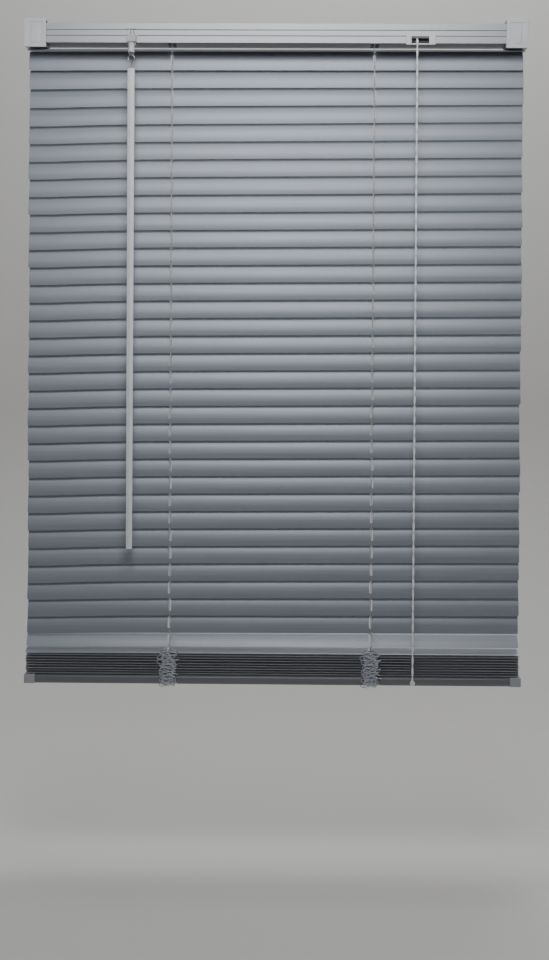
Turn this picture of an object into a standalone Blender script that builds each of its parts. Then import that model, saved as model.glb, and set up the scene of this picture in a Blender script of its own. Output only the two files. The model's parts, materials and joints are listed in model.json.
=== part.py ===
"""A 25 mm venetian blind, half drawn up: headrail in two box brackets, wand tilter, ladders, slats and rail.

Metres, +Z up, the room on the -Y side. The origin is the middle of the left bracket's top face.
"""

import math

import bmesh
import bpy
from mathutils import Matrix, Vector

MM = 0.001
GAP = 0.3 * MM

# Overall sizes
BRACKET_SPACING = 581.0 * MM
BRACKET_WIDTH = 26.5 * MM
BRACKET_HEIGHT = 32.0 * MM
COVER_HEIGHT = 35.0 * MM
BRACKET_BACK = 15.0 * MM
BRACKET_RIM = -14.9 * MM
BRACKET_WALL = 2.0 * MM
COVER_THICK = 2.0 * MM
COVER_FRONT = -17.5 * MM

HEADRAIL_TOP = -5.0 * MM
HEADRAIL_BOTTOM = -28.5 * MM
HEADRAIL_DEPTH = 25.0 * MM
HEADRAIL_WALL = 0.8 * MM
HEADRAIL_END_PLAY = 3.0 * MM

SLAT_LENGTH = 600.0 * MM
SLAT_HALF = 12.4 * MM
SLAT_CROWN = 2.0 * MM
SLAT_THICK = 0.5 * MM
SLAT_PITCH = 21.4 * MM
SLAT_STRIPS = 6
HANGING_SLATS = 33
FIRST_SLAT_Z = -46.0 * MM
CLOSED_TILT = math.radians(76)
SLOT_LENGTH = 14.0 * MM
SLOT_WIDTH = 3.0 * MM

TOP_SLAT_Z = -33.6 * MM
TOP_SLAT_TILT = math.radians(10)

LAST_SLATS = ((-747.8 * MM, math.radians(50)), (-763.0 * MM, math.radians(12)))
PILE_SLATS = 8
PILE_TOP = -768.6 * MM
PILE_PITCH = 3.1 * MM

RAIL_LENGTH = 600.0 * MM
RAIL_TOP = -794.5 * MM
RAIL_BOTTOM = -805.0 * MM
RAIL_DEPTH = 25.0 * MM
RAIL_WALL = 1.2 * MM

# Places along the blind
MIDDLE_X = BRACKET_SPACING / 2
LADDER_X = {"left": 164.5 * MM, "right": 410.5 * MM}
TILTER_X = 116.8 * MM
LOCK_X = (447.6 * MM, 482.7 * MM)
PULL_X = 460.9 * MM

# Tilt mechanism
ROD_Z = -17.5 * MM
ROD_RADIUS = 2.9 * MM
ROD_ENDS = (100.0 * MM, 424.0 * MM)
BORE_RADIUS = 3.25 * MM
GEAR_TEETH = 16
GEAR_TIP = 7.2 * MM
GEAR_ROOT = 6.0 * MM
GEAR_WIDTH = 6.0 * MM
DRUM_RADIUS = 6.5 * MM
STEM_SLANT = math.radians(20)
STEM_END = Vector((TILTER_X, -20.0 * MM, -43.3 * MM))
HOOK_PIVOT = Vector((TILTER_X, -20.0 * MM, -43.6 * MM))
WAND_TOP = -62.0 * MM
WAND_BOTTOM = -640.0 * MM
WAND_TOP_RADIUS = 4.7 * MM
WAND_END_RADIUS = 4.1 * MM

# Cords
STRING_RADIUS = 0.35 * MM
STRING_ARM = 13.4 * MM
FRONT_STRING_ANGLE = math.radians(81.6)
REAR_STRING_ANGLE = math.radians(64.7)
CORD_RADIUS = 0.6 * MM
CORD_RUN_Z = -24.8 * MM
PULL_RADIUS = 1.1 * MM
PULL_END_Z = -806.0 * MM
ROLLER_CENTRE = Vector((455.0 * MM, -6.3 * MM, -24.2 * MM))


def clear_scene():
    for obj in list(bpy.data.objects):
        bpy.data.objects.remove(obj, do_unlink=True)


def collection(name):
    made = bpy.data.collections.new(name)
    bpy.context.scene.collection.children.link(made)
    return made


def material(name, colour, roughness, metallic=0.0):
    made = bpy.data.materials.new(name)
    made.use_nodes = True
    shader = made.node_tree.nodes["Principled BSDF"]
    shader.inputs["Base Color"].default_value = (*colour, 1.0)
    shader.inputs["Roughness"].default_value = roughness
    shader.inputs["Metallic"].default_value = metallic
    return made


clear_scene()
BLIND = collection("venetian_blind")
CUTTERS = collection("cutters")
SLAT_GREY = material("slat_grey", (0.36, 0.38, 0.42), 0.42, 0.2)
RAIL_GREY = material("rail_grey", (0.52, 0.54, 0.57), 0.4, 0.2)
WHITE_PLASTIC = material("white_plastic", (0.78, 0.79, 0.80), 0.4)
CLEAR_PLASTIC = material("clear_plastic", (0.62, 0.65, 0.68), 0.15)
BARE_METAL = material("bare_metal", (0.60, 0.61, 0.62), 0.3, 1.0)
CORD_GREY = material("cord_grey", (0.55, 0.57, 0.60), 0.85)


def add(name, mesh, finish):
    obj = bpy.data.objects.new(name, mesh)
    BLIND.objects.link(obj)
    if finish is not None:
        mesh.materials.append(finish)
    return obj


def to_mesh(bm, name):
    bmesh.ops.recalc_face_normals(bm, faces=bm.faces)
    mesh = bpy.data.meshes.new(name)
    bm.to_mesh(mesh)
    bm.free()
    return mesh


def boxes_mesh(name, *corners):
    """One mesh of boxes, each from its lowest and highest corners."""
    bm = bmesh.new()
    for low, high in corners:
        low, high = Vector(low), Vector(high)
        size = Matrix.Diagonal((*(high - low), 1.0))
        bmesh.ops.create_cube(bm, size=1.0, matrix=Matrix.Translation((low + high) / 2) @ size)
    return to_mesh(bm, name)


def cylinder_mesh(name, radius, length, segments=20, end_radius=None):
    """A cylinder or a taper about local Z, centred on the origin; end_radius is the one at the top."""
    bm = bmesh.new()
    top = radius if end_radius is None else end_radius
    bmesh.ops.create_cone(
        bm, cap_ends=True, segments=segments, radius1=radius, radius2=top, depth=length
    )
    return to_mesh(bm, name)


def cutter(name, mesh, matrix=Matrix.Identity(4)):
    obj = bpy.data.objects.new(name, mesh)
    CUTTERS.objects.link(obj)
    obj.matrix_world = matrix
    obj.hide_render = True
    obj.display_type = "WIRE"
    return obj


def combine(obj, tool, operation="DIFFERENCE"):
    made = obj.modifiers.new(tool.name, "BOOLEAN")
    made.operation = operation
    made.object = tool
    made.solver = "EXACT"


def smooth(obj, angle=35):
    obj.data.shade_smooth()
    obj.data.set_sharp_from_angle(angle=math.radians(angle))


def turned(name, profile, finish, matrix, steps=20):
    """A solid of revolution about its local Z from (radius, height) points that run down its outer side."""
    mesh = bpy.data.meshes.new(name)
    points = [(radius, 0.0, height) for radius, height in profile]
    closed = profile[0][0] > 0
    edges = [(i, i + 1) for i in range(len(points) - 1)]
    if closed:
        edges.append((len(points) - 1, 0))
    mesh.from_pydata(points, edges, [])
    obj = add(name, mesh, finish)
    screw = obj.modifiers.new("turn", "SCREW")
    screw.axis = "Z"
    screw.steps = steps
    screw.render_steps = steps
    screw.use_merge_vertices = True
    screw.merge_threshold = 1e-6
    screw.use_smooth_shade = True
    obj.matrix_world = matrix
    return obj


def wire(name, points, radius, finish, sides=2):
    """A round wire or cord along points, with closed ends."""
    data = bpy.data.curves.new(name, "CURVE")
    data.dimensions = "3D"
    data.bevel_depth = radius
    data.bevel_resolution = sides
    data.use_fill_caps = True
    spline = data.splines.new("POLY")
    spline.points.add(len(points) - 1)
    for target, point in zip(spline.points, points):
        target.co = (*point, 1.0)
    obj = bpy.data.objects.new(name, data)
    BLIND.objects.link(obj)
    data.materials.append(finish)
    return obj


def rounded(points, radius, steps=4):
    """The points with each inner corner replaced by a short arc-like curve that starts radius away from it."""
    route = [Vector(p) for p in points]
    out = [route[0]]
    for before, corner, after in zip(route, route[1:], route[2:]):
        start = corner + (before - corner).normalized() * min(radius, (before - corner).length / 2)
        end = corner + (after - corner).normalized() * min(radius, (after - corner).length / 2)
        for step in range(steps + 1):
            t = step / steps
            out.append(start * (1 - t) ** 2 + corner * 2 * t * (1 - t) + end * t * t)
    out.append(route[-1])
    return out


ALONG_X = Matrix.Rotation(math.pi / 2, 4, "Y")
TILTED = Matrix.Rotation(CLOSED_TILT, 4, "X")


# Slats -----------------------------------------------------------------------


def slat_outline(rise=0.0):
    """(y, z) along one slat's crowned section: the middle is at the origin and both edges lie SLAT_CROWN lower."""
    outline = []
    for step in range(SLAT_STRIPS + 1):
        y = SLAT_HALF * (2 * step / SLAT_STRIPS - 1)
        outline.append((y, rise - SLAT_CROWN * (y / SLAT_HALF) ** 2))
    return outline


def sheet_mesh(name, outline, start_x, end_x):
    """An open sheet: the (y, z) outline drawn along X."""
    bm = bmesh.new()
    rows = [[bm.verts.new((x, y, z)) for y, z in outline] for x in (start_x, end_x)]
    for a, b, c, d in zip(rows[0], rows[0][1:], rows[1][1:], rows[1]):
        bm.faces.new((a, d, c, b))
    mesh = bpy.data.meshes.new(name)
    bm.normal_update()
    bm.to_mesh(mesh)
    bm.free()
    return mesh


def thicken(obj, thickness):
    made = obj.modifiers.new("thickness", "SOLIDIFY")
    made.thickness = thickness
    made.offset = 0.0
    made.use_even_offset = True


def cord_slots():
    """The two slots that the lift cords pass through, about the middle of a slat at X = 0."""
    boxes = []
    for x in LADDER_X.values():
        middle = x - MIDDLE_X
        low = (middle - SLOT_WIDTH / 2, -SLOT_LENGTH / 2, -2 * MM)
        high = (middle + SLOT_WIDTH / 2, SLOT_LENGTH / 2, 2 * MM)
        boxes.append((low, high))
    return cutter("cord_slots", boxes_mesh("cord_slots", *boxes))


def finished_mesh(obj):
    """The object's mesh with its modifiers applied."""
    graph = bpy.context.evaluated_depsgraph_get()
    return bpy.data.meshes.new_from_object(obj.evaluated_get(graph))


def slat_mesh():
    """One slat about its own tilt axis, with its cord slots cut."""
    half = SLAT_LENGTH / 2
    pattern = add("slat_pattern", sheet_mesh("slat_pattern", slat_outline(), -half, half), SLAT_GREY)
    thicken(pattern, SLAT_THICK)
    combine(pattern, cord_slots())
    mesh = finished_mesh(pattern)
    bpy.data.objects.remove(pattern)
    return mesh


def slats():
    """The hanging slats, each turned about its own axis by the closed tilt, and the top slat."""
    shape = slat_mesh()
    for number in range(HANGING_SLATS):
        slat = add(f"slat_{number + 1:02d}", shape, None)
        slat.location = (MIDDLE_X, 0.0, FIRST_SLAT_Z - number * SLAT_PITCH)
        slat.rotation_euler = (CLOSED_TILT, 0.0, 0.0)
    top = add("slat_top", shape, None)
    top.location = (MIDDLE_X, 0.0, TOP_SLAT_Z)
    top.rotation_euler = (TOP_SLAT_TILT, 0.0, 0.0)


def pile_slat(bm, z, tilt):
    """Adds one closed slat to the pile's mesh."""
    turn = Matrix.Translation((MIDDLE_X, 0.0, z)) @ Matrix.Rotation(tilt, 4, "X")
    half = SLAT_LENGTH / 2
    rings = []
    for x in (-half, half):
        over = [(x, y, h) for y, h in slat_outline(SLAT_THICK / 2)]
        under = [(x, y, h) for y, h in reversed(slat_outline(-SLAT_THICK / 2))]
        rings.append([bm.verts.new(turn @ Vector(p)) for p in over + under])
    count = len(rings[0])
    for i in range(count):
        j = (i + 1) % count
        bm.faces.new((rings[0][i], rings[0][j], rings[1][j], rings[1][i]))
    half_count = count // 2
    for ring in rings:
        for i in range(half_count - 1):
            bm.faces.new((ring[i], ring[i + 1], ring[count - 2 - i], ring[count - 1 - i]))


def slat_stack():
    """The slats gathered on the rail, as one body: the bunched ladder cords tie them together."""
    places = list(LAST_SLATS)
    places += [(PILE_TOP - i * PILE_PITCH, 0.0) for i in range(PILE_SLATS)]
    bm = bmesh.new()
    for z, tilt in places:
        pile_slat(bm, z, tilt)
    strips = cutter("pile_strips", to_mesh(bm, "pile_strips"))
    posts = []
    for x in LADDER_X.values():
        low = (x - 3 * MM, -3 * MM, RAIL_TOP + GAP)
        high = (x + 3 * MM, 3 * MM, LAST_SLATS[0][0] - 1 * MM)
        posts.append((low, high))
    stack = add("slat_stack", boxes_mesh("slat_stack", *posts), SLAT_GREY)
    combine(stack, strips, "UNION")
    for side, x in LADDER_X.items():
        bore = cylinder_mesh(f"pile_bore_{side}", 1.0 * MM, 80 * MM, 12)
        place = Matrix.Translation((x, 0.0, LAST_SLATS[1][0] - 10 * MM))
        combine(stack, cutter(f"pile_bore_{side}", bore, place))


def bottom_rail():
    """A hollow rail with its two front edges rounded and a cord hole under each ladder."""
    half = RAIL_DEPTH / 2
    bevel = 2.2 * MM
    outline = [
        (-half + bevel, RAIL_TOP), (half, RAIL_TOP), (half, RAIL_BOTTOM),
        (-half + bevel, RAIL_BOTTOM), (-half, RAIL_BOTTOM + bevel), (-half, RAIL_TOP - bevel),
    ]
    bm = bmesh.new()
    start = MIDDLE_X - RAIL_LENGTH / 2
    face = bm.faces.new([bm.verts.new((start, y, z)) for y, z in outline])
    made = bmesh.ops.extrude_face_region(bm, geom=[face])
    moved = [v for v in made["geom"] if isinstance(v, bmesh.types.BMVert)]
    bmesh.ops.translate(bm, verts=moved, vec=(RAIL_LENGTH, 0.0, 0.0))
    rail = add("bottom_rail", to_mesh(bm, "bottom_rail"), RAIL_GREY)
    low = (start - 1 * MM, -half + 1.6 * MM, RAIL_BOTTOM + RAIL_WALL)
    high = (start + RAIL_LENGTH + 1 * MM, half - RAIL_WALL, RAIL_TOP - RAIL_WALL)
    combine(rail, cutter("rail_hollow", boxes_mesh("rail_hollow", (low, high))))
    for side, x in LADDER_X.items():
        hole = cylinder_mesh(f"rail_hole_{side}", 2.0 * MM, 30 * MM, 12)
        combine(rail, cutter(f"rail_hole_{side}", hole, Matrix.Translation((x, 0.0, RAIL_TOP))))


# Headrail and brackets -------------------------------------------------------


def headrail():
    """An open-topped channel with two shallow grooves along its front face and turned-in lips."""
    wall = HEADRAIL_WALL / 2
    top, bottom = HEADRAIL_TOP - wall, HEADRAIL_BOTTOM + wall
    side = HEADRAIL_DEPTH / 2 - wall
    outline = [(-9.0 * MM, top), (-side, top)]
    for groove in (-13.1 * MM, -20.1 * MM):
        outline += [(-side, groove + 0.7 * MM), (-side + 0.5 * MM, groove), (-side, groove - 0.7 * MM)]
    outline += [(-side, bottom), (side, bottom), (side, top), (9.0 * MM, top)]
    start = HEADRAIL_END_PLAY - BRACKET_WIDTH / 2
    end = BRACKET_SPACING - start
    rail = add("headrail", sheet_mesh("headrail", outline, start, end), RAIL_GREY)
    thicken(rail, HEADRAIL_WALL)
    windows = [
        ((TILTER_X - 6.2 * MM, -20 * MM, -32.0 * MM), (TILTER_X + 6.2 * MM, -5 * MM, -12.0 * MM)),
        ((LOCK_X[0] + 1.6 * MM, -20 * MM, -32.0 * MM), (LOCK_X[1] - 1.6 * MM, -11 * MM, -16.6 * MM)),
    ]
    for x in LADDER_X.values():
        windows.append(((x - 5 * MM, -10.5 * MM, -32 * MM), (x + 5 * MM, 10.5 * MM, -26 * MM)))
    combine(rail, cutter("headrail_windows", boxes_mesh("headrail_windows", *windows)))


def bracket(side, x, inward):
    """A box bracket, open at the front and towards the headrail, with ribs that hold the headrail."""
    half = BRACKET_WIDTH / 2
    box = ((x - half, BRACKET_RIM, -BRACKET_HEIGHT), (x + half, BRACKET_BACK, 0.0))
    body = add(f"bracket_{side}", boxes_mesh(f"bracket_{side}", box), WHITE_PLASTIC)
    reach = half + 1 * MM
    walls = sorted((x - inward * (half - BRACKET_WALL), x + inward * reach))
    low = (walls[0], BRACKET_RIM - 1 * MM, -BRACKET_HEIGHT + BRACKET_WALL)
    high = (walls[1], BRACKET_BACK - BRACKET_WALL, -BRACKET_WALL)
    hollow = boxes_mesh(f"bracket_hollow_{side}", (low, high))
    combine(body, cutter(f"bracket_hollow_{side}", hollow))
    ribs = []
    for offset in (-7 * MM, 7 * MM):
        left, right = x + offset - 1 * MM, x + offset + 1 * MM
        floor = (left, -12 * MM, -BRACKET_HEIGHT + 1 * MM)
        ribs.append((floor, (right, 14 * MM, HEADRAIL_BOTTOM - GAP)))
        ribs.append(((left, -12 * MM, HEADRAIL_TOP + GAP), (right, 14 * MM, -1 * MM)))
    combine(body, cutter(f"bracket_ribs_{side}", boxes_mesh(f"bracket_ribs_{side}", *ribs)), "UNION")
    holes = (
        (Matrix.Translation((x, -7 * MM, 0.0)), "top_front"),
        (Matrix.Translation((x, 8 * MM, 0.0)), "top_rear"),
        (Matrix.Translation((x, BRACKET_BACK, -10 * MM)) @ Matrix.Rotation(math.pi / 2, 4, "X"), "back"),
    )
    for place, where in holes:
        name = f"bracket_{side}_{where}_hole"
        combine(body, cutter(name, cylinder_mesh(name, 2.2 * MM, 8 * MM, 16), place))


def bracket_cover(side, x):
    """The bracket's front door: a plate with a raised panel, hung from its top edge."""
    half = BRACKET_WIDTH / 2
    back = COVER_FRONT + COVER_THICK
    hinge_z = -1.4 * MM
    plate = (
        (x - half, COVER_FRONT, -COVER_HEIGHT),
        (x + half, back, hinge_z + 1.0 * MM),
    )
    low, high = (Vector(corner) - Vector((x, -16.5 * MM, hinge_z)) for corner in plate)
    cover = add(f"bracket_cover_{side}", boxes_mesh(f"bracket_cover_{side}", (low, high)), WHITE_PLASTIC)
    cover.location = (x, -16.5 * MM, hinge_z)
    inset = boxes_mesh(
        f"cover_inset_{side}",
        ((x - 9.2 * MM, COVER_FRONT - 1 * MM, -31 * MM), (x + 9.2 * MM, COVER_FRONT + 0.6 * MM, -5 * MM)),
    )
    combine(cover, cutter(f"cover_inset_{side}", inset))
    panel = boxes_mesh(
        f"cover_panel_{side}",
        (
            (x - 4.5 * MM, COVER_FRONT, -29.5 * MM),
            (x + 4.5 * MM, COVER_FRONT + 1.0 * MM, -6.5 * MM),
        ),
    )
    combine(cover, cutter(f"cover_panel_{side}", panel), "UNION")


# Tilt mechanism --------------------------------------------------------------


def tilt_rod():
    start, end = ROD_ENDS
    rod = add("tilt_rod", cylinder_mesh("tilt_rod", ROD_RADIUS, end - start, 6), BARE_METAL)
    rod.matrix_world = Matrix.Translation(((start + end) / 2, 0.0, ROD_Z)) @ ALONG_X


def rod_bore(name, x, length):
    place = Matrix.Translation((x, 0.0, ROD_Z)) @ ALONG_X
    return cutter(name, cylinder_mesh(name, BORE_RADIUS, length, 6), place)


def tilter_gear():
    """A toothed wheel: an extruded outline whose radius steps between root and tip."""
    outline = []
    for tooth in range(GEAR_TEETH):
        for part, radius in ((0.0, GEAR_ROOT), (0.3, GEAR_ROOT), (0.45, GEAR_TIP), (0.85, GEAR_TIP)):
            angle = 2 * math.pi * (tooth + part) / GEAR_TEETH
            outline.append((radius * math.cos(angle), radius * math.sin(angle)))
    bm = bmesh.new()
    low = -GEAR_WIDTH / 2
    face = bm.faces.new([bm.verts.new((a, b, low)) for a, b in outline])
    made = bmesh.ops.extrude_face_region(bm, geom=[face])
    moved = [v for v in made["geom"] if isinstance(v, bmesh.types.BMVert)]
    bmesh.ops.translate(bm, verts=moved, vec=(0.0, 0.0, GEAR_WIDTH))
    gear = add("tilter_gear", to_mesh(bm, "tilter_gear"), WHITE_PLASTIC)
    gear.matrix_world = Matrix.Translation((TILTER_X, 0.0, ROD_Z)) @ ALONG_X
    combine(gear, rod_bore("gear_bore", TILTER_X, 20 * MM))


def stem_matrix():
    """Local Z up along the stem's slanted axis, with the origin at its lower end."""
    return Matrix.Translation(STEM_END) @ Matrix.Rotation(-STEM_SLANT, 4, "X")


def tilter_stem():
    """The worm, its shaft and the sleeve that hangs out of the housing, turned as one piece."""
    worm_low, worm_high, rings = 26.0 * MM, 34.0 * MM, 4
    pitch = (worm_high - worm_low) / rings
    profile = [(0.0, worm_high + 0.5 * MM), (1.8 * MM, worm_high + 0.5 * MM)]
    for ring in range(rings):
        top = worm_high - ring * pitch
        profile += [(1.8 * MM, top), (2.4 * MM, top - 0.4 * pitch), (2.4 * MM, top - 0.6 * pitch)]
    profile += [
        (1.8 * MM, worm_low), (2.4 * MM, worm_low), (2.4 * MM, 13.2 * MM), (3.5 * MM, 13.2 * MM), (3.8 * MM, 12.8 * MM),
        (3.8 * MM, 0.4 * MM), (3.5 * MM, 0.0), (2.7 * MM, 0.0), (2.7 * MM, 4.0 * MM), (0.0, 4.0 * MM),
    ]
    turned("tilter_stem", profile, WHITE_PLASTIC, stem_matrix())


def tilter_housing():
    """The case around gear and worm, with a slanted nose that carries the stem out of the headrail."""
    front, back = -10.8 * MM, 11.2 * MM
    left, right = TILTER_X - 9 * MM, TILTER_X + 9 * MM
    floor, roof = HEADRAIL_BOTTOM + HEADRAIL_WALL + GAP, -7.5 * MM
    case = boxes_mesh("tilter_housing", ((left, front, floor), (right, back, roof)))
    housing = add("tilter_housing", case, CLEAR_PLASTIC)
    nose = boxes_mesh("tilter_nose", ((-5.2 * MM, -5.2 * MM, 13.7 * MM), (5.2 * MM, 5.2 * MM, 24.0 * MM)))
    combine(housing, cutter("tilter_nose", nose, stem_matrix()), "UNION")
    low = (left + 1.2 * MM, front + 1.2 * MM, floor + 1.2 * MM)
    high = (right - 1.2 * MM, back - 1.2 * MM, roof + 2 * MM)
    combine(housing, cutter("tilter_cavity", boxes_mesh("tilter_cavity", (low, high))))
    bore = cylinder_mesh("stem_bore", 3.0 * MM, 34 * MM, 20)
    combine(housing, cutter("stem_bore", bore, stem_matrix() @ Matrix.Translation((0, 0, 27 * MM))))
    rod_hole = cylinder_mesh("tilter_rod_hole", 3.6 * MM, 24 * MM, 16)
    place = Matrix.Translation((TILTER_X, 0.0, ROD_Z)) @ ALONG_X
    combine(housing, cutter("tilter_rod_hole", rod_hole, place))


def ladder_drum(side, x):
    """A spool on the rod: two flanges that the ladder strings hang from, and a hub at each end."""
    hub, flange, groove = 4.2 * MM, DRUM_RADIUS, 5.2 * MM
    profile = [
        (hub, 8.6 * MM), (hub, 4.0 * MM), (flange, 4.0 * MM), (flange, 3.0 * MM), (groove, 2.4 * MM),
        (groove, -2.4 * MM), (flange, -3.0 * MM), (flange, -4.0 * MM), (hub, -4.0 * MM), (hub, -8.6 * MM),
    ]
    profile = [(0.0, 8.6 * MM)] + profile + [(0.0, -8.6 * MM)]
    place = Matrix.Translation((x, 0.0, ROD_Z)) @ ALONG_X
    drum = turned(f"ladder_drum_{side}", profile, WHITE_PLASTIC, place)
    combine(drum, rod_bore(f"drum_bore_{side}", x, 40 * MM))


def cradle(side, x):
    """The drum's cradle: two end plates on a base with an opening for the ladder and the lift cord."""
    floor = HEADRAIL_BOTTOM + HEADRAIL_WALL + GAP
    base = ((x - 8.2 * MM, -10.8 * MM, floor), (x + 8.2 * MM, 10.8 * MM, floor + 1.0 * MM))
    plates = [base]
    for near, far in ((-8.2 * MM, -6.8 * MM), (6.8 * MM, 8.2 * MM)):
        plates.append(((x + near, -10.8 * MM, floor + 0.5 * MM), (x + far, 10.8 * MM, -14.0 * MM)))
    body = add(f"cradle_{side}", boxes_mesh(f"cradle_{side}", base), WHITE_PLASTIC)
    uprights = boxes_mesh(f"cradle_plates_{side}", *plates[1:])
    combine(body, cutter(f"cradle_plates_{side}", uprights), "UNION")
    cuts = boxes_mesh(
        f"cradle_cuts_{side}",
        ((x - 5 * MM, -9.5 * MM, floor - 1 * MM), (x + 5 * MM, 9.5 * MM, floor + 1.5 * MM)),
        ((x - 10 * MM, -5.5 * MM, floor + 1.6 * MM), (x + 10 * MM, 5.5 * MM, floor + 4.4 * MM)),
    )
    combine(body, cutter(f"cradle_cuts_{side}", cuts))
    place = Matrix.Translation((x, 0.0, ROD_Z)) @ ALONG_X
    bore = cylinder_mesh(f"cradle_bore_{side}", 4.6 * MM, 24 * MM, 20)
    combine(body, cutter(f"cradle_bore_{side}", bore, place))
    mouth = boxes_mesh(
        f"cradle_mouth_{side}", ((x - 10 * MM, -4.5 * MM, ROD_Z), (x + 10 * MM, 4.5 * MM, -10 * MM))
    )
    combine(body, cutter(f"cradle_mouth_{side}", mouth))


def wand_hook():
    """A wire eye with a tail that hangs in the sleeve and a straight shank that runs into the wand."""
    eye_radius, wire_radius, eye_drop = 3.9 * MM, 0.6 * MM, 5.6 * MM
    bm = bmesh.new()
    rings = []
    for step in range(24):
        angle = math.radians(15 * step)
        out = Vector((math.cos(angle), 0, math.sin(angle)))
        centre = out * eye_radius - Vector((0, 0, eye_drop))
        ring = []
        for side in range(8):
            turn = math.radians(45 * side)
            point = centre + (out * math.cos(turn) + Vector((0, 1, 0)) * math.sin(turn)) * wire_radius
            ring.append(bm.verts.new(point))
        rings.append(ring)
    for near, far in zip(rings, rings[1:] + rings[:1]):
        for side in range(8):
            other = (side + 1) % 8
            bm.faces.new((near[side], far[side], far[other], near[other]))
    hook = add("wand_hook", to_mesh(bm, "wand_hook"), BARE_METAL)
    hook.location = HOOK_PIVOT
    shank_low = WAND_TOP - 8 * MM
    shank_high = HOOK_PIVOT.z - eye_drop - eye_radius
    tail_low, tail_high = HOOK_PIVOT.z - eye_drop + eye_radius, HOOK_PIVOT.z + 2.5 * MM
    for name, low, high in (("shank", shank_low, shank_high), ("tail", tail_low, tail_high)):
        rod = cylinder_mesh(f"hook_{name}", 0.9 * wire_radius, high - low, 10)
        place = Matrix.Translation((HOOK_PIVOT.x, HOOK_PIVOT.y, (low + high) / 2))
        combine(hook, cutter(f"hook_{name}", rod, place), "UNION")


def wand():
    """A six-sided rod, slightly thinner at its lower end, with a bore in its top for the hook."""
    length = WAND_TOP - WAND_BOTTOM
    rod = add("wand", cylinder_mesh("wand", WAND_END_RADIUS, length, 6, WAND_TOP_RADIUS), CLEAR_PLASTIC)
    rod.location = (HOOK_PIVOT.x, HOOK_PIVOT.y, (WAND_TOP + WAND_BOTTOM) / 2)
    bore = cylinder_mesh("wand_bore", 1.2 * MM, 20 * MM, 12)
    place = Matrix.Translation((HOOK_PIVOT.x, HOOK_PIVOT.y, WAND_TOP))
    combine(rod, cutter("wand_bore", bore, place))


# Cord lock -------------------------------------------------------------------


def cord_lock():
    """The lock's case and its front bezel, with a slot for the cords and a pin for the roller."""
    left, right = LOCK_X
    bezel = ((left, -14.2 * MM, -30.4 * MM), (right, -12.8 * MM, -15.2 * MM))
    case = ((left + 2 * MM, -13.2 * MM, -27.0 * MM), (right - 2 * MM, 9 * MM, -17.0 * MM))
    body = add("cord_lock", boxes_mesh("cord_lock", bezel), WHITE_PLASTIC)
    combine(body, cutter("lock_case", boxes_mesh("lock_case", case)), "UNION")
    cuts = {
        "inside": ((left + 3.2 * MM, -12 * MM, -25.9 * MM), (right - 3.2 * MM, 7.8 * MM, -15 * MM)),
        "front": ((left + 6.3 * MM, -12.9 * MM, -25.9 * MM), (right - 7.5 * MM, -11.5 * MM, -20.3 * MM)),
        "mouth": ((left + 6.3 * MM, -16 * MM, -29.2 * MM), (right - 7.5 * MM, -12.7 * MM, -20.3 * MM)),
        "side": ((left - 1 * MM, -5 * MM, -25.9 * MM), (left + 3.8 * MM, 5 * MM, -22.5 * MM)),
    }
    for where, corners in cuts.items():
        combine(body, cutter(f"lock_{where}", boxes_mesh(f"lock_{where}", corners)))
    pin = cylinder_mesh("roller_pin", 1.0 * MM, 6.0 * MM, 12)
    place = Matrix.Translation(ROLLER_CENTRE + Vector((0, 0, -0.2 * MM)))
    combine(body, cutter("roller_pin", pin, place), "UNION")


def cord_lock_roller():
    """A waisted roller that turns on the lock's pin."""
    profile = [
        (3.2 * MM, 1.3 * MM), (2.8 * MM, 0.6 * MM), (2.8 * MM, -0.6 * MM), (3.2 * MM, -1.3 * MM),
        (1.3 * MM, -1.3 * MM), (1.3 * MM, 1.3 * MM),
    ]
    turned("cord_lock_roller", profile, WHITE_PLASTIC, Matrix.Translation(ROLLER_CENTRE), 16)


# Cords -----------------------------------------------------------------------


def ladder_strings(side, x):
    """The ladder's two strings, close to the closed slats and then round the gathered ones."""
    start = ROD_Z - STRING_ARM - 0.3 * MM
    for face, angle, sign in (("front", FRONT_STRING_ANGLE, -1), ("rear", REAR_STRING_ANGLE, 1)):
        near = sign * STRING_ARM * math.cos(angle)
        outer = sign * 13.5 * MM
        turn_z = -740.0 * MM if face == "front" else -721.0 * MM
        points = [(x, near, start), (x, near, turn_z), (x, outer, turn_z - 24 * MM)]
        points.append((x, outer, RAIL_TOP - 4 * MM))
        wire(f"ladder_{face}_{side}", rounded(points, 6 * MM), STRING_RADIUS, CORD_GREY)


def lift_cord(side, x, run_y, end):
    """From inside the rail up through every slat, then along the headrail's floor to the lock."""
    points = [
        (x, 0.0, RAIL_BOTTOM + 3 * MM), (x, 0.0, CORD_RUN_Z), (x + 8 * MM, 0.0, CORD_RUN_Z),
        (x + 16 * MM, run_y, CORD_RUN_Z), (LOCK_X[0] - 1 * MM, run_y, CORD_RUN_Z), end,
    ]
    wire(f"lift_cord_{side}", rounded(points, 2.5 * MM), CORD_RADIUS, CORD_GREY)


PULL_ROUTE = (
    (PULL_X, -6.6 * MM, -23.8 * MM), (PULL_X, -10.5 * MM, -23.8 * MM), (PULL_X, -14.0 * MM, -24.0 * MM),
    (PULL_X, -16.2 * MM, -26.0 * MM), (PULL_X, -16.9 * MM, -30.0 * MM), (PULL_X, -17.0 * MM, -40.0 * MM),
    (PULL_X, -17.0 * MM, -120.0 * MM), (PULL_X, -17.0 * MM, -260.0 * MM), (PULL_X, -17.0 * MM, -420.0 * MM),
    (PULL_X, -17.0 * MM, -580.0 * MM), (PULL_X, -17.0 * MM, -720.0 * MM), (PULL_X, -17.0 * MM, PULL_END_Z),
)


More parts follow.
